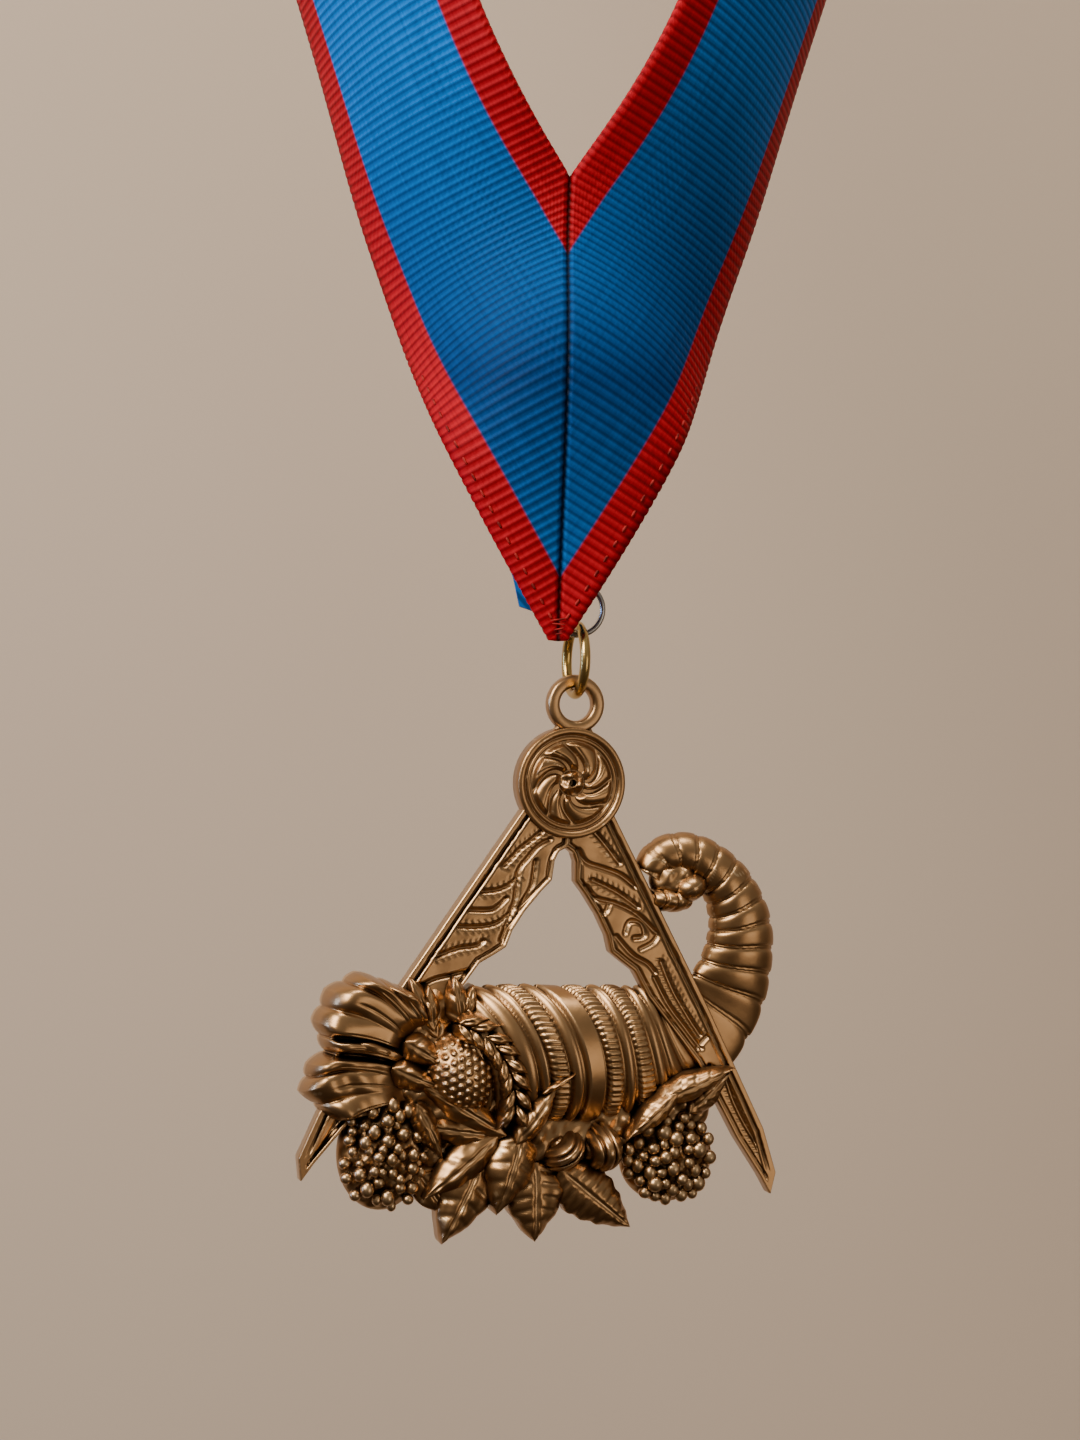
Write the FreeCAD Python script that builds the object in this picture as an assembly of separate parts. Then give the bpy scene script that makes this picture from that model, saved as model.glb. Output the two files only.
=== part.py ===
import FreeCAD, Part
import math
import os

from FreeCAD import Vector

# Collar ribbon, in millimetres. The origin is the inner face of the ribbon at the nape.
ribbon_width = 31.75
ribbon_thickness = 1.0
ribbon_facets_along = 52
ribbon_facets_across = 6

# The point of the V, where both bands meet in a mitre
tip_height = -351.0
tip_depth = -121.5

# Rings, with their places measured from the point of the V
steel_ring_radius = 3.38
steel_wire = 0.75
steel_ring_side = 2.9
steel_ring_behind = 5.4
steel_ring_height = 4.4
jump_ring_radius = 4.48
jump_wire = 1.35
ring_play = 0.15
eye_play = 0.2

# The jewel hangs turned a little to the right of the ribbon, and leans a little in its own plane
jewel_turn = 10.0
compass_lean = 2.9

# Eye and head of the compasses
eye_radius = 3.85
eye_hole_radius = 2.2
eye_thickness = 2.2
eye_chamfer = 0.45
head_drop = 10.35
head_radius = 7.35
head_front = 1.6
head_rim_radius = 6.55
head_rim = 0.55
petal_count = 10
boss_radius = 1.7
pin_hole = 0.45

# Legs of the compasses
leg_front = 1.2
leg_back = 1.1
leg_border = 0.95
leg_recess = 0.45

# Horn and fruit
flat_back = 1.3
berry_radius = 0.95
grain_pairs = 7
grain_width = 1.8
grain_front = 6.4

# Backing patch and the tab that holds the steel ring
patch_gap = 0.85
patch_thickness = 1.1
tab_width = 3.0
tab_thickness = 0.9
tab_play = 0.5

# The middle line of the right half of the ribbon, measured from the point of the V.
# out_* is the direction from the inner edge to the outer edge, bow the arch across the
# width in degrees. The first row lies beyond the mitre, which cuts it off, and the last
# row mirrors the one before the nape, so that the band crosses the nape smoothly.
ribbon_rows = [
    # name, side, back, up, out_side, out_back, out_up, bow
    ("before mitre", -12.4, 2.7, 8.1, 0.846, -0.167, -0.507, 0),
    ("mitre", 1.7, 0.2, 32.1, 0.789, 0.038, -0.613, 60),
    ("above mitre", 10.4, 7.3, 51.0, 0.796, 0.463, -0.390, 59),
    ("lower chest", 23.8, 7.4, 82.0, 0.586, 0.774, -0.240, 42),
    ("chest", 45.0, 18.0, 152.0, 0.632, 0.739, -0.233, 71),
    ("upper chest", 61.0, 34.0, 222.0, 0.640, 0.72, -0.260, 45),
    ("collarbone", 71.0, 55.0, 290.0, 0.720, 0.60, -0.300, 30),
    ("shoulder", 67.0, 84.0, 332.0, 0.700, 0.60, -0.450, 20),
    ("neck side", 51.0, 106.0, 346.0, 0.450, 0.58, -0.680, 10),
    ("neck back", 27.0, 118.5, 350.5, 0.150, 0.35, -0.920, 4),
    ("nape", 0.0, 122.0, 351.0, 0.000, 0.18, -0.980, 0),
    ("past nape", -27.0, 118.5, 350.5, -0.150, 0.35, -0.920, 4),
]

# Outline of one leg, from the head down its outer edge, round the point and back up the
# inner edge. side is from the axis of the compasses and down from the middle of the eye.
leg_outer = [
    # side, down
    (2.2, 9.0),
    (6.3, 14.3),
    (13.9, 26.8),
    (21.3, 39.0),
    (30.2, 54.6),
    (32.4, 60.4),
]
leg_point = (31.9, 63.3)
leg_inner = [
    # side, down
    (30.2, 61.0),
    (26.4, 56.0),
    (20.2, 46.2),
    (12.7, 37.9),
]
leg_step = (7.1, 32.2)
leg_step_bend = (10.5, 34.5)
leg_spur = (1.6, 23.2)
leg_spur_bend = (4.9, 27.4)
leg_keyhole_side = (1.45, 20.9)
leg_keyhole_top = (0.0, 18.9)
leg_overlap = [
    # side, down: beyond the axis, where both legs lie together under the head
    (-1.5, 16.4),
    (-1.5, 10.0),
]

# Middle line of the horn, from the mouth to the end of the curled tail
horn_rows = [
    # side, up, half_width, front, lean
    (-17.0, -46.3, 8.2, 4.4, 0.55),
    (-12.0, -46.2, 9.0, 5.0, 0.55),
    (-1.0, -46.2, 9.0, 4.6, 0.50),
    (9.8, -46.0, 8.7, 2.9, 0.40),
    (16.0, -44.3, 7.8, 0.9, 0.25),
    (20.7, -40.6, 6.2, 0.6, 0.10),
    (23.2, -36.0, 5.2, 1.3, 0.00),
    (24.1, -29.6, 4.4, 1.9, 0.00),
    (22.4, -24.3, 3.65, 1.8, 0.00),
    (19.2, -20.9, 3.1, 1.5, 0.00),
    (15.6, -19.5, 2.8, 1.2, 0.00),
    (12.4, -20.2, 2.5, 0.9, 0.00),
    (10.9, -22.4, 2.1, 0.6, 0.00),
]
horn_rib_pitch = 2.9
horn_rib_depth = 0.07

# Rounded forms of the fruit: each stands on the flat back
bunches = [
    # name, side, up, half_width, half_height, front
    ("left bunch", -24.9, -57.9, 5.6, 6.9, 2.6),
    ("right bunch", 13.1, -58.8, 6.0, 5.6, 2.6),
]
mounds = [
    # name, side, up, half_width, half_height, front
    ("bed", -11.5, -50.5, 12.5, 9.0, 3.2),
    ("lower bed", -5.0, -57.5, 14.0, 4.6, 2.4),
    ("upper bed", -19.0, -42.0, 5.4, 6.0, 2.2),
    ("strawberry", -15.3, -47.8, 4.6, 5.1, 6.0),
    ("left nut", -0.7, -57.6, 2.6, 2.9, 4.4),
    ("right nut", 4.2, -57.5, 2.9, 2.9, 4.4),
    ("tail knob", 16.0, -23.2, 2.2, 1.9, 1.6),
    ("tail lobe", 13.3, -25.0, 2.3, 1.7, 1.2),
]

# Leaves, each from its root to its tip
leaves = [
    # name, root side, root up, tip side, tip up, width, front
    ("upper left", -20.0, -44.3, -33.2, -38.6, 8.6, 3.4),
    ("upper left lobe", -21.0, -42.0, -27.8, -35.2, 6.4, 3.0),
    ("lower left", -21.5, -48.2, -35.3, -49.0, 8.2, 3.2),
    ("stalk bud", -17.5, -42.5, -21.3, -35.6, 3.6, 3.0),
    ("second bud", -15.0, -41.5, -16.2, -35.8, 3.4, 2.8),
    ("side bud", -7.5, -56.5, -0.7, -48.3, 3.8, 5.4),
    ("bottom one", -11.6, -56.8, -19.0, -63.2, 4.4, 3.4),
    ("bottom two", -12.7, -58.7, -16.9, -68.4, 6.2, 3.0),
    ("bottom three", -7.0, -56.4, -9.8, -64.9, 5.6, 3.6),
    ("bottom four", -4.9, -60.6, -4.4, -68.7, 7.2, 3.0),
    ("bottom five", -1.2, -59.6, 7.2, -67.6, 6.4, 2.8),
    ("twisted upper", 12.5, -51.6, 21.6, -47.0, 5.0, 2.9),
    ("twisted lower", 14.8, -50.2, 7.4, -55.2, 4.6, 3.4),
]

# The ear of wheat bends from its root over to its tip
wheat_middle = [
    # side, up
    (-17.0, -41.0),
    (-9.6, -45.6),
    (-7.7, -54.6),
]


def smooth(rows, position):
    """Follow rows of numbers on a curve that passes through each of them."""
    last = len(rows) - 1
    index = min(int(position), last - 1)
    t = position - index
    start, end = rows[index], rows[index + 1]
    before = rows[max(index - 1, 0)]
    after = rows[min(index + 2, last)]
    result = []
    for p0, p1, p2, p3 in zip(before, start, end, after):
        slope_in = (p2 - p0) / 2
        slope_out = (p3 - p1) / 2
        result.append(
            (2 * t ** 3 - 3 * t ** 2 + 1) * p1
            + (t ** 3 - 2 * t ** 2 + t) * slope_in
            + (3 * t ** 2 - 2 * t ** 3) * p2
            + (t ** 3 - t ** 2) * slope_out
        )
    return result


def skin(sections, closed):
    """Join rings of points, one after the other, into a faceted solid."""
    count = len(sections[0])
    faces = []

    def facet(*corners):
        if (corners[1] - corners[0]).cross(corners[2] - corners[0]).Length > 1e-9:
            faces.append(Part.Face(Part.makePolygon(list(corners) + [corners[0]])))

    pairs = list(zip(sections, sections[1:]))
    if closed:
        pairs.append((sections[-1], sections[0]))
    for near, far in pairs:
        for i in range(count):
            j = (i + 1) % count
            facet(near[i], near[j], far[j])
            facet(near[i], far[j], far[i])
    if not closed:
        for ring in (sections[0], sections[-1]):
            middle = sum(ring, Vector()) * (1.0 / count)
            for i in range(count):
                facet(ring[i], ring[(i + 1) % count], middle)
    shell = Part.makeShell(faces)
    shell.sewShape()
    solid = Part.makeSolid(shell)
    if solid.Volume < 0:
        solid.reverse()
    return solid


def ribbon_point(position, across):
    """A point of the ribbon's middle sheet; across is 0 at the inner edge and 1 at the outer."""
    rows = [row[1:] for row in ribbon_rows]
    side, back, up, out_side, out_back, out_up, bow = smooth(rows, position)
    along = Vector(*smooth(rows, position + 0.01)[:3]) - Vector(*smooth(rows, position - 0.01)[:3])
    along.normalize()
    out = Vector(out_side, out_back, out_up)
    out = out - along * out.dot(along)
    out.normalize()
    front = out.cross(along)
    bend = math.radians(max(bow, 0.5))
    radius = ribbon_width / bend
    turn = (across - 0.5) * bend
    offset = out * (radius * math.sin(turn))
    offset += front * (radius * (math.cos(turn) - math.cos(bend / 2)))
    normal = front * math.cos(turn) + out * math.sin(turn)
    return Vector(side, back, up) + offset, normal


def mitre_position(across):
    """Where a lengthwise line of the ribbon meets the mitre, in the plane of symmetry."""
    low, high = 0.0, 2.5
    for _ in range(40):
        half = (low + high) / 2
        if ribbon_point(half, across)[0].x < 0:
            low = half
        else:
            high = half
    return high


def ribbon_section(share, side):
    """A ring of points round the ribbon, share of the way from the mitre to the nape."""
    nape = len(ribbon_rows) - 2
    fronts, backs = [], []
    for step in range(ribbon_facets_across + 1):
        across = step / ribbon_facets_across
        start = mitre_position(across)
        point, normal = ribbon_point(start + (nape - start) * share, across)
        front = point + normal * (ribbon_thickness / 2)
        back = point - normal * (ribbon_thickness / 2)
        if share in (0, 1):
            front.x = back.x = 0
        fronts.append(Vector(front.x * side, front.y, front.z))
        backs.append(Vector(back.x * side, back.y, back.z))
    return fronts + backs[::-1]


def collar_ribbon():
    shares = [i / ribbon_facets_along for i in range(ribbon_facets_along + 1)]
    right = [ribbon_section(share, 1) for share in shares]
    left = [ribbon_section(share, -1) for share in shares[1:-1]]
    return skin(right + left[::-1], closed=True)


def prism(outline, front, back):
    """A plate with a straight-edged outline of (side, up) points."""
    points = [Vector(side, front, up) for side, up in outline]
    face = Part.Face(Part.makePolygon(points + [points[0]]))
    return face.extrude(Vector(0, back - front, 0))


def point_backing():
    """The folded end of the ribbon behind the point, sewn to the tab through the steel ring."""
    front = ribbon_thickness / 2 + patch_gap
    back = front + patch_thickness
    patch = prism(
        [(-0.6, 3.0), (-5.0, 4.4), (-5.9, 8.2), (-9.0, 16.0), (-9.0, 24.0), (-4.0, 29.0), (3.5, 29.0),
         (8.0, 20.0), (8.0, 16.0), (3.6, 7.0)],
        front,
        back,
    )
    ring_top = steel_ring_height + steel_ring_radius
    gap = steel_wire / 2 + tab_play
    wide = gap + tab_thickness
    ring_axis = Vector(0, steel_ring_behind, ring_top)
    half = tab_width / 2
    left = steel_ring_side - half
    outer = Part.makeCylinder(wide, tab_width, ring_axis + Vector(left, 0, 0), Vector(1, 0, 0))
    inner = Part.makeCylinder(gap, tab_width, ring_axis + Vector(left, 0, 0), Vector(1, 0, 0))
    strap = prism(
        [(back - 0.4, ring_top + 10.0), (back - 0.4, ring_top + 1.2),
         (steel_ring_behind - wide * 0.8, ring_top - wide * 0.6), (steel_ring_behind + wide, ring_top),
         (steel_ring_behind + wide * 0.9, ring_top + 1.6), (back + 0.9, ring_top + 10.0)],
        0,
        -tab_width,
    )
    strap.rotate(Vector(), Vector(0, 0, 1), 90)
    strap.translate(Vector(left, 0, 0))
    tab = strap.fuse(outer).cut(inner)
    return patch.fuse(tab).removeSplitter().Solids[0]


def ring(radius, wire, axis):
    return Part.makeTorus(radius, wire / 2, Vector(), axis)


def eye():
    half = eye_thickness / 2
    profile = [
        (eye_hole_radius, -half + eye_chamfer),
        (eye_hole_radius + eye_chamfer, -half),
        (eye_radius - eye_chamfer, -half),
        (eye_radius, -half + eye_chamfer),
        (eye_radius, half - eye_chamfer),
        (eye_radius - eye_chamfer, half),
        (eye_hole_radius + eye_chamfer, half),
        (eye_hole_radius, half - eye_chamfer),
    ]
    points = [Vector(radius, depth, 0) for radius, depth in profile]
    face = Part.Face(Part.makePolygon(points + [points[0]]))
    return face.revolve(Vector(), Vector(0, 1, 0), 360)


def neck():
    """The short flare that joins the eye to the head."""
    return prism([(-3.0, -2.6), (3.0, -2.6), (4.2, -5.2), (-4.2, -5.2)], -0.9, 0.9)


def head():
    """The round boss over the hinge, with a raised rim and a swirl of petals."""
    middle = Vector(0, 0, -head_drop)
    front = Vector(0, -1, 0)
    disc = Part.makeCylinder(head_radius, leg_back + head_front, middle + Vector(0, leg_back, 0), front)
    field = Part.makeCylinder(head_rim_radius - head_rim, head_front, middle - Vector(0, 1.15, 0), front)
    disc = disc.cut(field)
    rim = Part.makeTorus(head_rim_radius, head_rim, middle - Vector(0, head_front, 0), front)
    pieces = [rim]
    for number in range(petal_count):
        turn = 360.0 * number / petal_count
        petal = Part.makeTorus(2.7, 0.75, Vector(), front, -180, 180, 88)
        petal.rotate(Vector(), front, 150)
        petal.translate(Vector(2.9, -1.15, 1.2))
        petal.rotate(Vector(), front, turn)
        petal.translate(middle)
        pieces.append(petal)
    pieces.append(Part.makeSphere(boss_radius, middle - Vector(0, 0.6, 0)))
    bore = Part.makeCylinder(pin_hole, 3.0, middle - Vector(0, 1.6, 0), front)
    return disc.multiFuse(pieces).cut(bore)


def leg_point_in_place(spot):
    return Vector(spot[0], 0, -spot[1])


def leg_outline():
    outer = [leg_point_in_place(spot) for spot in leg_outer]
    inner = [leg_point_in_place(spot) for spot in leg_inner]
    point = leg_point_in_place(leg_point)
    step = leg_point_in_place(leg_step)
    spur = leg_point_in_place(leg_spur)
    keyhole = leg_point_in_place(leg_keyhole_side)
    top = leg_point_in_place(leg_keyhole_top)
    edges = [Part.makeLine(a, b) for a, b in zip(outer, outer[1:])]
    edges.append(Part.makeLine(outer[-1], point))
    edges.append(Part.makeLine(point, inner[0]))
    edges += [Part.makeLine(a, b) for a, b in zip(inner, inner[1:])]
    edges.append(Part.Arc(inner[-1], leg_point_in_place(leg_step_bend), step).toShape())
    edges.append(Part.Arc(step, leg_point_in_place(leg_spur_bend), spur).toShape())
    edges.append(Part.makeLine(spur, keyhole))
    bend = Vector(keyhole.x * 0.72, 0, (keyhole.z + top.z) / 2 + 0.55)
    edges.append(Part.Arc(keyhole, bend, top).toShape())
    overlap = [top] + [leg_point_in_place(spot) for spot in leg_overlap] + [outer[0]]
    edges += [Part.makeLine(a, b) for a, b in zip(overlap, overlap[1:])]
    return Part.Wire(edges)


def leg(side):
    """One leg: a plate whose engraved field lies below a raised border."""
    outline = Part.Face(leg_outline())
    plate = outline.extrude(Vector(0, leg_front + leg_back, 0))
    plate.translate(Vector(0, -leg_front, 0))
    field = outline.makeOffset2D(-leg_border)
    pocket = field.extrude(Vector(0, -leg_recess * 2, 0))
    pocket.translate(Vector(0, -leg_front + leg_recess, 0))
    plate = plate.cut(pocket)
    if side < 0:
        plate = plate.mirror(Vector(), Vector(1, 0, 0))
    return plate


def compasses():
    pieces = [head(), neck(), leg(1), leg(-1)]
    solid = eye().multiFuse(pieces)
    hole = Part.makeCylinder(eye_hole_radius, 4, Vector(0, -2, 0), Vector(0, 1, 0))
    solid = solid.cut(hole)
    solid.rotate(Vector(), Vector(0, 1, 0), compass_lean)
    return solid


def horn_section(position, share):
    """An oval round the horn's middle line, its front leaning along the horn."""
    side, up, half_width, front, lean = smooth(horn_rows, position)
    ahead = smooth(horn_rows, min(position + 0.02, len(horn_rows) - 1))
    behind = smooth(horn_rows, max(position - 0.02, 0))
    along = Vector(ahead[0] - behind[0], 0, ahead[1] - behind[1])
    along.normalize()
    across = Vector(-along.z, 0, along.x)
    forward = Vector(0, -(front + flat_back), 0) + along * (lean * (front + flat_back))
    middle = Vector(side, flat_back, up)
    points = []
    for step in range(16):
        angle = 2 * math.pi * step / 16
        points.append(
            middle
            + across * (half_width * share * math.cos(angle))
            + forward * (share * math.sin(angle))
        )
    curve = Part.BSplineCurve()
    curve.interpolate(Points=points, PeriodicFlag=True)
    return Part.Wire(curve.toShape())


def horn():
    """The ribbed horn of plenty, as a half-round relief on a flat back."""
    length = 0
    last = len(horn_rows) - 1
    steps = 40 * last
    stops = [0.0]
    for number in range(steps):
        here = smooth(horn_rows, last * number / steps)
        there = smooth(horn_rows, last * (number + 1) / steps)
        length += math.hypot(there[0] - here[0], there[1] - here[1])
        if length > horn_rib_pitch / 2:
            stops.append(last * (number + 1) / steps)
            length = 0
    wires = []
    for number, position in enumerate(stops):
        share = 1 if number % 2 else 1 - horn_rib_depth
        wires.append(horn_section(position, share))
    solid = Part.makeLoft(wires, True, True)
    behind = Part.makeBox(120, 30, 120, Vector(-60, flat_back, -100))
    return solid.cut(behind)


def mound(side, up, half_width, half_height, front):
    """Half an ellipsoid that stands on the flat back."""
    ball = Part.makeSphere(1.0, Vector(), Vector(0, -1, 0), 0, 90, 360)
    stretch = FreeCAD.Matrix()
    stretch.scale(Vector(half_width, front + flat_back, half_height))
    ball = ball.transformGeometry(stretch)
    ball.translate(Vector(side, flat_back, up))
    return ball


def leaf(root_side, root_up, tip_side, tip_up, width, front):
    """A leaf with a raised midrib, from its root to its tip."""
    root = Vector(root_side, 0, root_up)
    tip = Vector(tip_side, 0, tip_up)
    along = tip - root
    across = Vector(-along.z, 0, along.x).normalize()
    sections = []
    for share, wide in ((0.0, 0.35), (0.25, 0.8), (0.55, 1.0), (0.82, 0.72), (0.97, 0.22)):
        middle = root + along * share
        half = across * (width / 2 * wide)
        rise = front * (1 - 0.45 * share)
        sections.append([
            middle + half + Vector(0, flat_back, 0),
            middle + half - Vector(0, rise * 0.45, 0),
            middle - Vector(0, rise, 0),
            middle - half - Vector(0, rise * 0.45, 0),
            middle - half + Vector(0, flat_back, 0),
        ])
    return skin(sections, closed=False)


def bunch(side, up, half_width, half_height, front):
    """A mound with round berries in staggered rows over it."""
    spacing = 2.15 * berry_radius
    rows = int(half_height / spacing) + 1
    found = []
    for row in range(-rows, rows + 1):
        height = row * spacing * 0.95
        for column in range(-4, 5):
            place = (column + 0.5 * (row % 2)) * spacing
            reach = (place / half_width) ** 2 + (height / half_height) ** 2
            if reach > 0.92:
                continue
            rise = (front + flat_back) * math.sqrt(1 - reach) - flat_back
            found.append(Part.makeSphere(berry_radius, Vector(side + place, -rise - 0.25, up + height)))
    return mound(side, up, half_width, half_height, front).multiFuse(found)


def wheat():
    """An ear of wheat: pairs of grains along a bent stalk."""
    start, middle, end = [Vector(side, 0, up) for side, up in wheat_middle]
    stalk = Part.Arc(start, middle, end)
    first, last = stalk.FirstParameter, stalk.LastParameter
    grains = []
    for number in range(grain_pairs):
        where = first + (last - first) * (number + 0.3) / grain_pairs
        root = stalk.value(where)
        along = Vector(*stalk.tangent(where)[0]).normalize()
        across = Vector(-along.z, 0, along.x)
        for side in (1, -1):
            tip = root + along * 2.6 + across * (side * 1.9)
            grains.append(leaf(root.x, root.z, tip.x, tip.z, grain_width, grain_front))
    return grains


def jewel():
    pieces = [horn()]
    pieces += [mound(*row[1:]) for row in mounds]
    pieces += [leaf(*row[1:]) for row in leaves]
    pieces += [bunch(*row[1:]) for row in bunches]
    pieces += wheat()
    return compasses().multiFuse(pieces).Solids[0]


def place_at_point(shape, side, back, up):
    """Move a shape from its own middle to its place by the point of the V."""
    shape.rotate(Vector(), Vector(0, 0, 1), jewel_turn)
    shape.translate(Vector(side, tip_depth + back, tip_height + up))
    return shape


def build():
    jump_ring_up = steel_ring_height - steel_ring_radius - jump_ring_radius
    jump_ring_up += steel_wire / 2 + jump_wire / 2 + ring_play
    eye_up = jump_ring_up - jump_ring_radius + jump_wire / 2 + eye_play - eye_hole_radius
    to_point = Vector(0, tip_depth, tip_height)
    shapes = {
        "collar_ribbon": collar_ribbon(),
        "point_backing": point_backing(),
        "steel_ring": ring(steel_ring_radius, steel_wire, Vector(0, 1, 0)),
        "jump_ring": ring(jump_ring_radius, jump_wire, Vector(1, 0, 0)),
        "jewel": jewel(),
    }
    shapes["collar_ribbon"].translate(to_point)
    shapes["point_backing"].translate(to_point)
    shapes["steel_ring"].translate(
        to_point + Vector(steel_ring_side, steel_ring_behind, steel_ring_height)
    )
    place_at_point(shapes["jump_ring"], steel_ring_side, steel_ring_behind, jump_ring_up)
    place_at_point(shapes["jewel"], steel_ring_side, steel_ring_behind, eye_up)
    return shapes


os.makedirs("parts", exist_ok=True)
for node, shape in build().items():
    shape.exportStep(f"parts/{node}.step")
    print(node, shape.ShapeType, len(shape.Solids), shape.isValid(), round(shape.Volume, 1))
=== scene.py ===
import math
import random

import bpy
import numpy as np
from mathutils import Matrix, Vector


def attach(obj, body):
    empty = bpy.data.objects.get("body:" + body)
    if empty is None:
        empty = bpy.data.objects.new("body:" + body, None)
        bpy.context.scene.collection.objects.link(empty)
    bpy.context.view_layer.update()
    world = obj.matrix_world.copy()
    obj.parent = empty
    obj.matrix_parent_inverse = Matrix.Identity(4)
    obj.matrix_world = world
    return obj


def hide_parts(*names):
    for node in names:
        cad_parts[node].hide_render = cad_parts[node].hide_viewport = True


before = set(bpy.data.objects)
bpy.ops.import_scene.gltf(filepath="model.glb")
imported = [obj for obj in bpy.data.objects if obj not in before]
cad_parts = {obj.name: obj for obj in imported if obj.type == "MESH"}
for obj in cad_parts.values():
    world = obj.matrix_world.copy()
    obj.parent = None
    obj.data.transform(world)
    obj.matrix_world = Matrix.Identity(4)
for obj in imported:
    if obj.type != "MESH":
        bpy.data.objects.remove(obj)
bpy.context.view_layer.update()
chance = random.Random(7)

# Forms are drawn in millimetres and turned into metres when a mesh is made
mm = 0.001

# Ribbon
ribbon_width = 31.75
ribbon_thickness = 0.9
tip = np.array([0.0, -121.5, -351.0])
rib_pitch = 1.12
stripe_width = 5.1
ribbed_length = 112.0
samples_per_rib = 6
plain_rows = 170
ribbon_columns = 33
rib_base = 0.10
rib_depth = 0.06
edge_scallop = 0.16
scallop_width = 0.9
seam_fold = 0.42
seam_fold_width = 0.7
seam_fold_reach = 60.0
seam_line_reach = 70.0
# painted shade: from the point up to this height the blue is darkened towards a darker blue
shaded_blue_reach = 80.0
red = (0.44, 0.006, 0.016)
blue = (0.0, 0.165, 0.60)
shaded_blue = (0.0, 0.034, 0.15)

# Stitches along the outer edges, and the crossed threads at the point
stitch_count = 17
stitch_pitch = 2.2
stitch_length = 1.0
stitch_inset = 1.5
stitch_radius = 0.17
crossed_threads = 4
crossed_pitch = 0.62
crossed_radius = 0.12

# The jewel's own frame lies in the middle of the eye, turned about the plumb line
eye_middle = np.array([2.9, -116.1, -359.06])
jewel_turn = math.radians(10.0)
compass_lean = math.radians(2.9)
flat_back = 1.3

# Compasses
leg_back = 1.1
leg_rim = 1.2
leg_field = 0.72
rim_groove = 0.72
leaf_lift = 0.26
cut_depth = 0.22
tick_depth = 0.13
tick_pitch = 0.85
head_drop = 10.35
head_radius = 7.35
petals = 8
boss_radius = 1.75
drill_radius = 0.4
eye_radius = 3.03
eye_half_width = 0.85
eye_half_thickness = 1.1

# Middle line of the right half of the ribbon, from the point of the V
ribbon_rows = np.array([
    # side, back, up, out_side, out_back, out_up, bow
    (-12.4, 2.7, 8.1, 0.846, -0.167, -0.507, 0),
    (1.7, 0.2, 32.1, 0.789, 0.038, -0.613, 60),
    (10.4, 7.3, 51.0, 0.796, 0.463, -0.390, 59),
    (23.8, 7.4, 82.0, 0.586, 0.774, -0.240, 42),
    (45.0, 18.0, 152.0, 0.632, 0.739, -0.233, 71),
    (61.0, 34.0, 222.0, 0.640, 0.72, -0.260, 45),
    (71.0, 55.0, 290.0, 0.720, 0.60, -0.300, 30),
    (67.0, 84.0, 332.0, 0.700, 0.60, -0.450, 20),
    (51.0, 106.0, 346.0, 0.450, 0.58, -0.680, 10),
    (27.0, 118.5, 350.5, 0.150, 0.35, -0.920, 4),
    (0.0, 122.0, 351.0, 0.000, 0.18, -0.980, 0),
    (-27.0, 118.5, 350.5, -0.150, 0.35, -0.920, 4),
])

# Edges of one leg of the compasses: side from the axis, down from the middle of the eye
leg_outer = [(0.4, 7.0), (2.2, 9.0), (6.3, 14.3), (13.9, 26.8), (21.3, 39.0), (30.2, 54.6),
             (32.4, 60.4), (31.9, 63.3)]
leg_inner = [(-0.3, 7.0), (-0.3, 18.6), (0.1, 18.9), (0.9, 19.4), (1.4, 20.6), (1.6, 23.2), (2.9, 24.7),
             (4.9, 27.4), (6.4, 30.0), (7.1, 32.2), (8.5, 33.2), (10.5, 34.5), (12.7, 37.9), (20.2, 46.2),
             (26.4, 56.0), (30.2, 61.0), (31.7, 63.3)]

# Engraved lines of each leg: (side, down) points from root to tip
left_engraving = {
    "leaf edge": [(3.4, 16.9), (4.9, 18.3), (6.3, 19.5), (7.1, 20.5), (8.2, 21.7)],
    "stem": [(2.3, 17.9), (3.7, 18.8), (5.0, 20.4), (6.1, 22.0), (6.3, 23.9), (6.4, 26.1), (7.0, 28.4),
             (7.9, 31.3)],
    "first branch": [(6.3, 23.2), (7.5, 24.3), (9.2, 25.0), (11.8, 25.3)],
    "second branch": [(7.6, 25.9), (8.6, 27.0), (9.8, 27.6), (13.2, 27.7)],
    "third branch": [(6.8, 27.7), (8.1, 28.9), (9.7, 29.6), (12.2, 29.9), (14.8, 29.9)],
    "fourth branch": [(10.2, 31.6), (11.1, 32.3), (13.3, 32.7), (15.3, 33.5), (16.6, 34.0)],
    "fifth branch": [(12.0, 35.6), (14.0, 36.2), (16.6, 37.0), (19.0, 38.5)],
    "inner leaf": [(4.0, 20.8), (4.1, 22.7), (4.4, 24.5), (5.8, 27.0)],
    "low stem": [(20.0, 44.0), (23.5, 50.0), (27.0, 54.5), (30.0, 60.0)],
    "low leaf": [(25.4, 51.0), (25.6, 53.0), (27.2, 56.2)],
}
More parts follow.
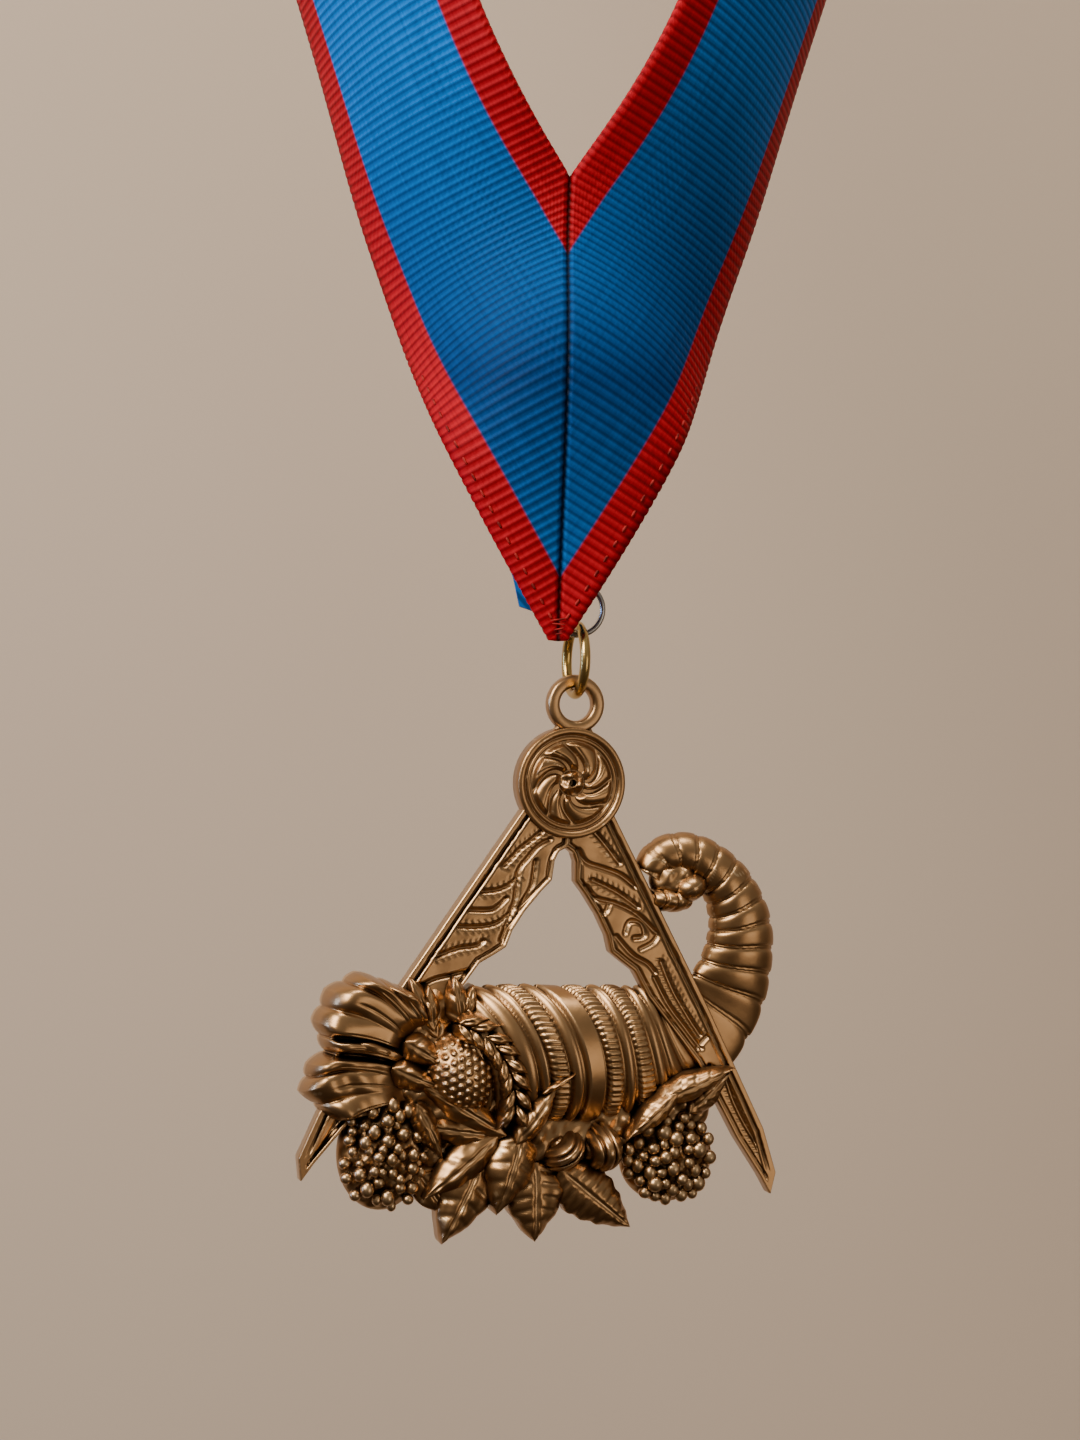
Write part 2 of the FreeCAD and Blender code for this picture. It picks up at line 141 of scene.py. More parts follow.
right_engraving = {
    "stem": [(1.7, 19.1), (2.9, 20.6), (5.4, 21.3), (7.7, 22.0), (9.8, 23.4)],
    "upper leaf": [(3.8, 16.6), (5.3, 18.1), (7.4, 20.4)],
    "second leaf": [(3.9, 22.9), (6.3, 23.8), (8.2, 24.7), (10.4, 26.1)],
    "second edge": [(3.1, 23.8), (4.5, 25.2), (7.4, 25.8), (10.3, 27.0), (13.0, 29.2)],
    "spur": [(4.6, 27.6), (6.0, 27.0), (6.4, 26.0)],
    "third edge": [(7.7, 30.1), (10.1, 32.4), (12.3, 33.5), (13.4, 34.6)],
    "curl": [(8.9, 29.6), (9.4, 28.1), (11.0, 28.2), (11.6, 29.8), (10.2, 30.2)],
    "second curl": [(11.2, 31.6), (12.9, 30.6), (13.6, 29.2)],
    "long leaf": [(14.2, 33.1), (15.8, 36.2), (17.9, 39.4), (20.3, 42.5)],
    "long edge": [(13.4, 35.2), (15.6, 38.7), (18.5, 42.0), (20.6, 44.3)],
    "cross": [(20.1, 44.3), (21.2, 42.9), (22.4, 41.8)],
    "low leaf": [(24.4, 48.1), (26.4, 52.3), (29.8, 57.3)],
    "low edge": [(22.0, 46.6), (25.6, 49.0), (28.4, 53.0), (30.8, 57.5)],
}
ticked = ("leaf edge", "first branch", "third branch", "fourth branch", "second leaf",
          "upper leaf", "long leaf", "low leaf")

# The flare between the eye and the head
neck_rows = [
    # down, half_width, half_thickness
    (2.6, 1.6, 0.5),
    (3.0, 2.4, 0.85),
    (3.6, 2.8, 0.95),
    (4.3, 3.3, 0.95),
    (5.6, 4.3, 0.9),
]

# Middle line of the horn, from the mouth to the end of the curled tail
horn_rows = np.array([
    # side, up, half_width, front, lean
    (-17.0, -46.3, 8.2, 4.4, 0.55),
    (-12.0, -46.2, 9.0, 5.0, 0.55),
    (-1.0, -46.2, 9.0, 4.8, 0.50),
    (9.8, -46.0, 8.7, 2.6, 0.40),
    (16.0, -44.3, 7.8, 0.4, 0.25),
    (20.7, -40.6, 6.2, 0.2, 0.10),
    (23.2, -36.0, 5.2, 1.3, 0.00),
    (24.1, -29.6, 4.4, 2.3, 0.00),
    (22.4, -24.3, 3.65, 2.2, 0.00),
    (19.2, -20.9, 3.1, 2.0, 0.00),
    (15.6, -19.5, 2.8, 1.7, 0.00),
    (12.4, -20.2, 2.5, 1.4, 0.00),
    (10.9, -22.4, 2.1, 1.1, 0.00),
])

# Bands round the horn's body, by side at the front: kind and both edges
horn_bands = [
    # kind, from, to
    ("ridge", -16.0, -14.4),
    ("ridge", -13.9, -12.6),
    ("ridge", -12.2, -10.6),
    ("ridge", -10.2, -8.8),
    ("ridge", -8.4, -6.2),
    ("ridge", -5.8, -4.6),
    ("notched", -4.2, -1.7),
    ("ridge", -1.3, 0.3),
    ("plain", 0.9, 3.8),
    ("notched", 4.3, 6.9),
    ("ridge", 7.4, 8.9),
    ("notched", 9.4, 12.0),
    ("ridge", 12.5, 14.0),
    ("ridge", 14.6, 16.2),
    ("ridge", 16.8, 19.0),
]
band_height = 0.11
groove_depth = 0.075
notches = 34

# Ribs of the horn's tail: length from the mouth, and pitch there
tail_pitches = [(33, 3.6), (40, 3.4), (46, 3.0), (54, 2.5), (64, 2.4), (72, 2.3), (84, 1.9)]

# Leaves, each from its root to its tip
leaves = [
    # name, root side, root up, tip side, tip up, width, height, curl, veins
    ("lower_left_back", -21.5, -50.2, -33.0, -52.4, 6.0, 1.6, 0.6, 6),
    ("stalk_bud", -17.9, -43.4, -21.6, -35.6, 4.2, 3.0, 0.2, 3),
    ("stalk_bud_side", -18.5, -42.5, -19.3, -36.4, 3.0, 3.4, 0.2, 3),
    ("second_bud", -14.6, -42.0, -15.9, -35.4, 3.8, 3.2, 0.2, 3),
    ("second_bud_side", -14.4, -41.6, -13.2, -36.6, 2.8, 3.0, 0.2, 3),
    ("side_bud", -7.6, -56.9, -2.1, -49.2, 4.4, 5.6, 0.1, 4),
    ("side_sprig", -4.4, -50.4, 0.4, -47.6, 1.6, 6.0, 0.0, 2),
    ("bottom_one", -9.8, -56.0, -19.4, -64.0, 5.4, 4.2, 0.5, 4),
    ("bottom_two", -11.6, -59.3, -16.7, -70.0, 6.8, 3.2, 0.5, 6),
    ("bottom_three", -6.6, -55.8, -9.8, -66.2, 7.4, 4.6, 0.1, 5),
    ("bottom_four", -4.5, -59.6, -4.3, -70.0, 7.8, 3.4, 0.5, 7),
    ("bottom_five", -1.2, -60.6, 8.7, -68.5, 7.2, 3.2, 0.0, 12),
    ("under_left", -20.2, -60.2, -15.9, -66.4, 4.6, 1.8, 0.3, 4),
    ("berry_leaf_left", -20.6, -51.6, -17.0, -58.8, 3.4, 4.2, 0.3, 4),
    ("strawberry_cap", -8.8, -55.9, -20.8, -48.6, 4.6, 4.4, 0.5, 5),
    ("strawberry_under", -9.2, -56.2, -21.0, -54.4, 4.4, 3.6, 0.4, 6),
    ("fan_root", -22.4, -43.6, -17.0, -46.9, 4.2, 4.4, 0.3, 3),
    ("fan_base", -24.0, -47.0, -17.4, -49.8, 4.0, 4.2, 0.3, 3),
    ("twisted_upper", 11.6, -51.9, 22.3, -47.6, 3.6, 4.4, 0.9, 6),
    ("twisted_lower", 14.4, -50.6, 7.4, -56.8, 3.4, 4.8, 0.9, 5),
    ("twisted_back", 16.4, -53.6, 22.0, -48.4, 3.6, 3.2, 0.4, 5),
]

# Broad lobed leaves that spread like a fan; each lobe is a direction in degrees and a reach
fan_leaves = [
    # root side, root up, root width, height, fold, lobes
    (-20.4, -44.6, 5.6, 4.0, 3.5, [(113, 8.2), (131, 12.4), (148, 13.9), (165, 13.8), (178, 12.0)]),
    (-21.2, -49.2, 5.6, 3.5, 0.5, [(153, 10.6), (170, 13.4), (184, 14.2), (199, 11.4)]),
]

# The ear of wheat, the berry bunches and the rounded seeds
wheat_middle = [(-15.9, -41.2), (-12.2, -43.0), (-9.3, -46.3), (-8.0, -50.8), (-8.4, -55.6)]
grain_pairs = 8
grain_length = 3.5
grain_spread = 2.0
grain_width = 2.4
bunches = [
    # side, up, half_width, half_height, berries, smallest, largest
    (-24.4, -58.3, 5.7, 7.4, 44, 0.58, 0.94),
    (14.1, -59.7, 6.3, 5.9, 42, 0.72, 1.06),
]
seeds = [
    # side, up, half_width, half_height, height, turn in degrees
    (-0.6, -58.4, 2.5, 3.4, 5.9, -52.0),
    (4.7, -58.0, 2.9, 3.5, 5.9, 10.0),
]

# Rounded beds that the leaves and berries lie on
beds = [
    # side, up, half_width, half_height, height, roughness, detail
    (-11.5, -50.5, 12.5, 9.0, 3.0, 0.35, 60),
    (-5.0, -57.5, 14.0, 4.8, 2.2, 0.3, 60),
    (-16.6, -58.0, 4.6, 5.4, 1.2, 0.3, 48),
    (7.0, -55.6, 6.4, 4.0, 1.5, 0.3, 48),
    (15.0, -53.6, 5.2, 3.8, 1.3, 0.3, 48),
    (-19.0, -42.0, 5.4, 6.0, 2.0, 0.3, 48),
]

# Each form of a piece stands this far in front of the one before, so no backs share a plane
form_gap = 0.015

# Camera that matches the photo, in degrees and metres
camera_azimuth = -5.0
camera_roll = 1.4
camera_distance = 0.320
camera_side = 0.0021
camera_drop = 0.01025
lens_length = 62.0

# Lamps, in metres and watts; all point at the jewel
lamps_aim = (0, -0.12, -0.38)
lamps = [
    # name, place, size, power, colour
    ("key", (-0.55, -0.60, 0.10), (0.45, 0.45), 10.0, (1.0, 0.90, 0.78)),
    ("top", (0.05, -0.30, 0.45), (0.5, 0.2), 4.5, (1.0, 0.90, 0.78)),
    ("window", (-0.85, -0.20, -0.30), (0.06, 0.4), 2.3, (0.34, 0.52, 1.0)),
    ("fill", (0.55, -0.8, -0.5), (0.5, 0.5), 1.2, (1.0, 0.85, 0.70)),
]


def smooth_step(low, high, value):
    share = np.clip((value - low) / (high - low), 0.0, 1.0)
    return share * share * (3 - 2 * share)


def follow(rows, position):
    """Points on a curve that passes through each row of numbers."""
    rows = np.asarray(rows, float)
    position = np.asarray(position, float)
    last = len(rows) - 1
    index = np.clip(position.astype(int), 0, last - 1)
    t = (position - index)[..., None]
    start, end = rows[index], rows[index + 1]
    slope_in = (end - rows[np.maximum(index - 1, 0)]) / 2
    slope_out = (rows[np.minimum(index + 2, last)] - start) / 2
    return (
        (2 * t ** 3 - 3 * t ** 2 + 1) * start
        + (t ** 3 - 2 * t ** 2 + t) * slope_in
        + (3 * t ** 2 - 2 * t ** 3) * end
        + (t ** 3 - t ** 2) * slope_out
    )


def distance_to_line(points, line):
    """How far each (side, down) point lies from a line of points."""
    best = np.full(points.shape[:-1], 1e9)
    for start, end in zip(line, line[1:]):
        start, end = np.array(start, float), np.array(end, float)
        along = end - start
        share = np.clip(((points - start) @ along) / (along @ along), 0, 1)
        gap = points - (start + share[..., None] * along)
        best = np.minimum(best, np.hypot(gap[..., 0], gap[..., 1]))
    return best


def ripple(x, z, scale, seed):
    """A smooth irregular field of about -1 to 1, for the hand-worked look of cast metal."""
    total = np.zeros_like(x)
    source = random.Random(seed)
    for _ in range(6):
        angle = source.uniform(0, math.pi)
        pitch = scale * source.uniform(0.7, 1.6)
        phase = source.uniform(0, 6.28)
        way = x * math.cos(angle) + z * math.sin(angle)
        total += np.sin(way * 2 * math.pi / pitch + phase)
    return total / 3.5


def grid_faces(rows, columns, wrap, first):
    index = np.arange(rows * columns).reshape(rows, columns) + first
    if wrap:
        index = np.concatenate([index, index[:, :1]], axis=1)
    corners = [index[:-1, :-1], index[:-1, 1:], index[1:, 1:], index[1:, :-1]]
    return np.stack(corners, axis=-1).reshape(-1, 4)


def add_object(name, data):
    thing = bpy.data.objects.new(name, data)
    bpy.context.scene.collection.objects.link(thing)
    return thing


def mesh_object(name, grids, material, point_values=None):
    """One object from grids of points; a grid is (points in metres, wrap)."""
    points, faces, count = [], [], 0
    for grid, wrap in grids:
        rows, columns = grid.shape[:2]
        faces.append(grid_faces(rows, columns, wrap, count))
        points.append(grid.reshape(-1, 3))
        count += rows * columns
    mesh = bpy.data.meshes.new(name)
    mesh.from_pydata(np.concatenate(points).tolist(), [], np.concatenate(faces).tolist())
    for key, values in (point_values or {}).items():
        attribute = mesh.attributes.new(key, "FLOAT", "POINT")
        flat = np.concatenate([part.ravel() for part in values])
        attribute.data.foreach_set("value", flat.astype(np.float32))
    mesh.shade_smooth()
    mesh.materials.append(material)
    return add_object(name, mesh)


def from_jewel(points):
    """From the jewel's own frame in millimetres to the row frame in metres."""
    x, y, z = points[..., 0], points[..., 1], points[..., 2]
    cos, sin = math.cos(jewel_turn), math.sin(jewel_turn)
    turned = np.stack([x * cos - y * sin, x * sin + y * cos, z], axis=-1)
    return (turned + eye_middle) * mm


def from_compasses(side, height, down):
    """From the leaning compasses to the jewel's own frame."""
    cos, sin = math.cos(compass_lean), math.sin(compass_lean)
    z = -down
    return np.stack([side * cos + z * sin, -height, -side * sin + z * cos], axis=-1)


# Materials


def node_material(name):
    material = bpy.data.materials.new(name)
    material.use_nodes = True
    tree = material.node_tree
    return material, tree, tree.nodes["Principled BSDF"]


def fill(tree, node, inputs):
    """Give each input of a node a value, or a link from the output of another node."""
    for key, value in inputs.items():
        socket = node.inputs[key]
        if isinstance(value, bpy.types.NodeSocket):
            tree.links.new(value, socket)
        else:
            socket.default_value = value


def add_node(tree, kind, inputs):
    node = tree.nodes.new("ShaderNode" + kind)
    fill(tree, node, inputs)
    return node


def object_place(tree):
    return tree.nodes.new("ShaderNodeTexCoord").outputs["Object"]


def named_value(tree, name):
    node = tree.nodes.new("ShaderNodeAttribute")
    node.attribute_name = name
    return node.outputs["Fac"]


def ramp(tree, value, stops):
    """Colours along a value; each stop is a place and a colour."""
    node = add_node(tree, "ValToRGB", {"Fac": value})
    elements = node.color_ramp.elements
    while len(elements) < len(stops):
        elements.new(0.5)
    for element, (place, colour) in zip(elements, stops):
        element.position = place
        element.color = (*colour, 1)
    return node.outputs["Color"]


def grey_ramp(tree, value, stops):
    return ramp(tree, value, [(place, (level, level, level)) for place, level in stops])


def blend(tree, share, first, second, kind="MIX"):
    """One colour mixed with another or, with the kind MULTIPLY, darkened by it."""
    node = tree.nodes.new("ShaderNodeMix")
    node.data_type = "RGBA"
    node.blend_type = kind
    fill(tree, node, {0: share, 6: first, 7: second})
    return node.outputs[2]


def calculate(tree, operation, first, second=0.0):
    node = tree.nodes.new("ShaderNodeMath")
    node.operation = operation
    fill(tree, node, {0: first, 1: second})
    return node.outputs[0]


def map_range(tree, value, start, end, new_start=0.0, new_end=1.0):
    inputs = {"Value": value, "From Min": start, "From Max": end, "To Min": new_start, "To Max": new_end}
    return add_node(tree, "MapRange", inputs).outputs["Result"]


def bumped(tree, height, strength, distance, below=None):
    """A normal bent by a height in metres, over another bumped normal if there is one."""
    node = add_node(tree, "Bump", {"Height": height, "Strength": strength, "Distance": distance})
    if below is not None:
        tree.links.new(below, node.inputs["Normal"])
    return node.outputs["Normal"]


def metal(name, dark, middle, bright, roughness, cavity):
    """Cast metal: dark in the hollows by painted shade from ambient occlusion, which on the brass also stands
    for its own patina; bright on the worn edges, with a faint uneven tarnish.
    """
    material, tree, shader = node_material(name)
    # painted shade: ambient occlusion darkens the colour in hollows and between parts
    hollow = add_node(tree, "AmbientOcclusion", {"Distance": cavity})
    hollow.samples = 6
    shading = ramp(tree, hollow.outputs["AO"], [(0.28, dark), (0.68, middle)])
    geometry = tree.nodes.new("ShaderNodeNewGeometry")
    edge = map_range(tree, geometry.outputs["Pointiness"], 0.50, 0.60)
    worn = blend(tree, edge, shading, (*bright, 1))
    place = object_place(tree)
    tarnish = add_node(tree, "TexNoise", {"Vector": place, "Scale": 420, "Detail": 3})
    grey = add_node(tree, "RGBToBW", {"Color": tarnish.outputs["Color"]})
    toned = blend(tree, 0.35, worn, grey.outputs["Val"], "MULTIPLY")
    polish = map_range(tree, tarnish.outputs["Fac"], 0, 1, roughness - 0.05, roughness + 0.09)
    grain = add_node(tree, "TexNoise", {"Vector": place, "Scale": 1500})
    normal = bumped(tree, grain.outputs["Fac"], 0.12, 0.0001)
    fill(tree, shader, {"Metallic": 1.0, "Base Color": toned, "Roughness": polish, "Normal": normal})
    return material


def ribbon_dye_and_shade(tree, across, up):
    """Blue with crimson edges; below the inner corner of the V the blue is darkened by painted shade."""
    share = stripe_width / ribbon_width
    soft = 0.004
    stripes = []
    for tone in (shaded_blue, blue):
        stops = [(share - soft, red), (share + soft, tone), (1 - share - soft, tone), (1 - share + soft, red)]
        stripes.append(ramp(tree, across, stops))
    # painted shade: the blue is mixed towards the darker blue in a band above the point
    upward = map_range(tree, up, tip[2] * mm, (tip[2] + shaded_blue_reach) * mm)
    depth = grey_ramp(tree, upward, [(0.10, 0.62), (0.42, 0.05), (0.95, 1.0)])
    return blend(tree, depth, stripes[0], stripes[1])


def seam_shade(tree, side, up):
    """Dark along the sewn line in the middle, from the point upward, and 1 elsewhere."""
    from_seam = calculate(tree, "ABSOLUTE", side)
    sewn = map_range(tree, from_seam, 0.12 * mm, 0.42 * mm, 0.12, 1.0)
    above = calculate(tree, "GREATER_THAN", up, (tip[2] + seam_line_reach) * mm)
    return calculate(tree, "MAXIMUM", sewn, above)


def ribbon_material():
    """Woven silk: blue with crimson edges, fine ribs across and warp threads along, with painted shade in the
    rib hollows.
    """
    material, tree, shader = node_material("collar_ribbon_silk")
    across, along = named_value(tree, "across"), named_value(tree, "along")
    split = add_node(tree, "SeparateXYZ", {"Vector": object_place(tree)})
    wave = calculate(tree, "COSINE", calculate(tree, "MULTIPLY", along, 2 * math.pi / rib_pitch))
    height = map_range(tree, wave, 1, -1)
    place = add_node(tree, "CombineXYZ", {"X": across, "Y": along})
    stretch = add_node(tree, "Mapping", {"Vector": place.outputs["Vector"], "Scale": (75, 0.06, 1)})
    threads = add_node(tree, "TexNoise", {"Vector": stretch.outputs["Vector"], "Scale": 1, "Detail": 4})
    # painted shade: the second tone darkens the colour in the rib hollows, by the height that also bumps the
    # ribs
    tones = [
        seam_shade(tree, split.outputs["X"], split.outputs["Z"]),
        grey_ramp(tree, height, [(0.0, 0.50), (0.55, 1.0)]),
        map_range(tree, threads.outputs["Fac"], 0, 1, 0.62, 1.34),
    ]
    colour = ribbon_dye_and_shade(tree, across, split.outputs["Z"])
    for tone in tones:
        colour = blend(tree, 1.0, colour, tone, "MULTIPLY")
    ribs = bumped(tree, height, 0.35, 0.0003)
    normal = bumped(tree, threads.outputs["Fac"], 0.25, 0.0001, ribs)
    looks = {"Base Color": colour, "Roughness": 0.50, "Specular IOR Level": 0.05, "Normal": normal}
    fill(tree, shader, looks)
    return material


def plain_cloth(name, colour, pitch):
    """Cloth with fine ribs and painted shade in their hollows, for the folded end behind the point and for
    the sewing thread.
    """
    material, tree, shader = node_material(name)
    inputs = {"Vector": object_place(tree), "Scale": 1 / pitch, "Distortion": 0.4}
    ribs = add_node(tree, "TexWave", inputs)
    ribs.wave_type = "BANDS"
    ribs.bands_direction = "DIAGONAL"
    # painted shade: the rib hollows take a darker copy of the colour
    dark = tuple(0.45 * part for part in colour)
    shade = ramp(tree, ribs.outputs["Fac"], [(0.1, dark), (0.6, colour)])
    normal = bumped(tree, ribs.outputs["Fac"], 0.3, 0.0002)
    looks = {"Base Color": shade, "Roughness": 0.7, "Specular IOR Level": 0.15, "Normal": normal}
    fill(tree, shader, looks)
    return material


# Ribbon


def ribbon_points(position, across):
    """Points of the ribbon's middle sheet in millimetres, and their normals."""
    rows = follow(ribbon_rows, position)
    ahead, behind = follow(ribbon_rows, position + 0.01), follow(ribbon_rows, position - 0.01)
    along = ahead[..., :3] - behind[..., :3]
    along /= np.linalg.norm(along, axis=-1, keepdims=True)
    out = rows[..., 3:6]
    out = out - along * np.sum(out * along, axis=-1, keepdims=True)
    out /= np.linalg.norm(out, axis=-1, keepdims=True)
    front = np.cross(out, along)
    bend = np.radians(np.maximum(rows[..., 6], 0.5))
    radius = ribbon_width / bend
    turn = (across - 0.5) * bend
    offset = out * (radius * np.sin(turn))[..., None]
    offset += front * (radius * (np.cos(turn) - np.cos(bend / 2)))[..., None]
    normal = front * np.cos(turn)[..., None] + out * np.sin(turn)[..., None]
    return rows[..., :3] + offset, normal


def mitre_positions(across):
    """Where each lengthwise line of the ribbon crosses the middle plane, found by halving."""
    low, high = np.zeros_like(across), np.full_like(across, 2.5)
    for _ in range(40):
        half = (low + high) / 2
        inside = ribbon_points(half, across)[0][..., 0] < 0
        low = np.where(inside, half, low)
        high = np.where(inside, high, half)
    return high


def length_table():
    """Length along the ribbon's middle line, measured from the square end of the mitre."""
    places = np.linspace(0, len(ribbon_rows) - 2, 900)
    line = follow(ribbon_rows, places)[..., :3]
    steps = np.linalg.norm(np.diff(line, axis=0), axis=-1)
    return places, np.concatenate([[0], np.cumsum(steps)])


def row_lengths(start, total):
    """Length along the ribbon for each cross row, after a share: to 1 ribbed, then to 2 plain."""
    limit = start.max() + ribbed_length
    near = np.linspace(0, 1, int(ribbed_length / rib_pitch * samples_per_rib))
    far = np.linspace(0, 1, plain_rows)[1:]
    rows = [(share, start + (limit - start) * share) for share in near]
    rows += [(1 + share, np.full_like(start, limit + (total - limit) * share)) for share in far]
    return rows


def cross_row(place, length, share, from_start, columns):
    """Front and back of one cross row, with its rib, scalloped edges and the fold at the seam."""
    point, normal = ribbon_points(place, columns)
    rib = np.sqrt(np.abs(np.sin(length * math.pi / rib_pitch)))
    depth = rib_depth * rib * (1 - smooth_step(0.85, 1.0, share))
    edge = np.minimum(columns, 1 - columns) * ribbon_width
    scallop = edge_scallop * (1 - smooth_step(0.0, scallop_width, edge)) * rib
    outward = np.where(columns < 0.5, -1.0, 1.0)
    across_way = np.gradient(point, axis=0)
    across_way /= np.linalg.norm(across_way, axis=-1, keepdims=True)
    point = point + across_way * (outward * scallop)[:, None]
    fold = seam_fold * (1 - smooth_step(0.0, seam_fold_width, np.abs(point[:, 0])))
    point = point - normal * (fold * (from_start < seam_fold_reach))[:, None]
    half = ribbon_thickness / 2
    front = point + normal * (half - rib_base + depth)[:, None]
    return front, point - normal * half


def ribbon_half(side):
    """Closed cross rows of one half of the ribbon, with the two values that its weave needs."""
    places, lengths = length_table()
    columns = np.linspace(0, 1, ribbon_columns)
    start = np.interp(mitre_positions(columns), places, lengths)
    rings, along_values = [], []
    for share, length in row_lengths(start, lengths[-1]):
        place = np.interp(length, lengths, places)
        front, back = cross_row(place, length, share, length - start, columns)
        if share in (0, 2):
            front[:, 0] = back[:, 0] = 0
        ring = np.concatenate([front, back[::-4]])
        rings.append((ring * np.array([side, 1, 1]) + tip) * mm)
        along_values.append(np.concatenate([length, length[::-4]]))
    across = np.tile(np.concatenate([columns, columns[::-4]]), (len(rings), 1))
    return np.array(rings), np.array(along_values), across


def collar(material):
    grids, along_values, across_values = [], [], []
    for side in (1, -1):
        ring, along, across = ribbon_half(side)
        grids.append((ring, True))
        along_values.append(along)
        across_values.append(across)
    piece = mesh_object("ribbon", grids, material, {"along": along_values, "across": across_values})
    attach(piece, "collar")
    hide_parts("collar_ribbon")
    return piece


def capsule(start, end, radius, around=8, along=7):
    """A short thread between two points, as a closed grid."""
    start, end = np.array(start, float), np.array(end, float)
    way = end - start
    way /= np.linalg.norm(way)
    first = np.cross(way, [0.3, 0.2, 0.9])
    first /= np.linalg.norm(first)
    second = np.cross(way, first)
    rings = []
    for step in range(along):
        share = step / (along - 1)
        wide = radius * math.sqrt(max(1 - (2 * share - 1) ** 4, 0.0004))
        angles = np.linspace(0, 2 * math.pi, around, endpoint=False)
        ring = np.cos(angles)[:, None] * first + np.sin(angles)[:, None] * second
        rings.append(start + (end - start) * share + ring * wide)
    return np.array(rings)


def stitches(material):
    """The line of stitches near the lower outer edges, and the crossed threads at the point."""
    grids = []
    places, lengths = length_table()
    line = 1 - stitch_inset / ribbon_width
    start = np.interp(mitre_positions(np.array([line])), places, lengths)[0]
    for side in (1, -1):
        for number in range(stitch_count):
            ends = []
            for reach in (0.0, stitch_length):
                length = start + 2.0 + number * stitch_pitch + reach
                place = np.array([np.interp(length, lengths, places)])
                point, normal = ribbon_points(place, np.array([line]))
                spot = point[0] + normal[0] * (ribbon_thickness / 2 + 0.02)
                ends.append(spot * np.array([side, 1, 1]) + tip)
            grids.append((capsule(ends[0], ends[1], stitch_radius) * mm, True))
    for number in range(crossed_threads):
        up = 0.9 + number * crossed_pitch
        reach = 0.5 + 0.22 * number
        lean = chance.uniform(-0.25, 0.25)
        front = -ribbon_thickness / 2 - crossed_radius
        left = tip + np.array([-reach, front, up + lean])
        right = tip + np.array([reach, front, up - lean])
        grids.append((capsule(left, right, crossed_radius) * mm, True))
    piece = mesh_object("stitches", grids, material)
    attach(piece, "collar")
    return piece


# Compasses


def leg_relief(points, lines):
    """Height of a leg's engraved front, from the distances to its edges and lines."""
    outer = distance_to_line(points, leg_outer)
    inner = distance_to_line(points, leg_inner)
    field = leg_field + 0.04 * ripple(points[..., 0], points[..., 1], 3.0, 5)
    nearest = np.full(outer.shape, 1e9)
    for name, line in lines.items():
        line = follow(line, np.linspace(0, len(line) - 1, 24))
        gap = distance_to_line(points, line)
        nearest = np.minimum(nearest, gap)
        if name in ticked:
            way = line[-1] - line[0]
            way /= np.hypot(*way)
            along = (points - line[0]) @ way
            across = (points - line[0]) @ np.array([-way[1], way[0]])
            beat = np.abs(((along + 0.5 * np.abs(across)) / tick_pitch) % 1.0 - 0.5)
            near = (gap > 0.16) * (1 - smooth_step(0.7, 1.15, gap))
            field -= tick_depth * near * (1 - smooth_step(0.0, 0.22, beat))
    field += leaf_lift * smooth_step(0.10, 0.55, nearest)
    field -= cut_depth * (1 - smooth_step(0.05, 0.24, nearest))
    rim = leg_rim * smooth_step(-0.25, 0.16, outer)
    groove = smooth_step(0.74, 0.86, outer) * (1 - smooth_step(1.16, 1.30, outer))
    groove *= 1 - smooth_step(57.0, 60.5, points[..., 1])
    height = rim - rim_groove * groove
    inside = smooth_step(1.52, 1.66, outer)
    ledge = smooth_step(0.42, 0.56, inner)
    inner_groove = ledge * (1 - smooth_step(0.80, 0.92, inner))
    inside *= ledge
    height = height * (1 - inside) + field * inside
    height -= 0.35 * inner_groove * smooth_step(0.9, 1.3, outer)
    return np.minimum(height, leg_rim * smooth_step(-0.25, 0.14, inner))


def leg(side, lines):
    """One leg of the compasses; side is 1 for the right one and -1 for the left one."""
    rows, columns = 420, 56
    down = np.linspace(8.0, 63.25, rows)
    outer = np.interp(down, [p[1] for p in leg_outer], [p[0] for p in leg_outer])
    inner = np.interp(down, [p[1] for p in leg_inner], [p[0] for p in leg_inner])
    share = np.linspace(0, 1, columns)
    across = inner[:, None] + (outer - inner)[:, None] * share
    points = np.stack([across, np.repeat(down[:, None], columns, axis=1)], axis=-1)
    height = leg_relief(points, lines)
    front = from_compasses(side * points[..., 0], height, points[..., 1])
    behind = points[:, ::-11]
    back = from_compasses(side * behind[..., 0], np.full(behind.shape[:2], -leg_back), behind[..., 1])
    return from_jewel(np.concatenate([front, back], axis=1)), True


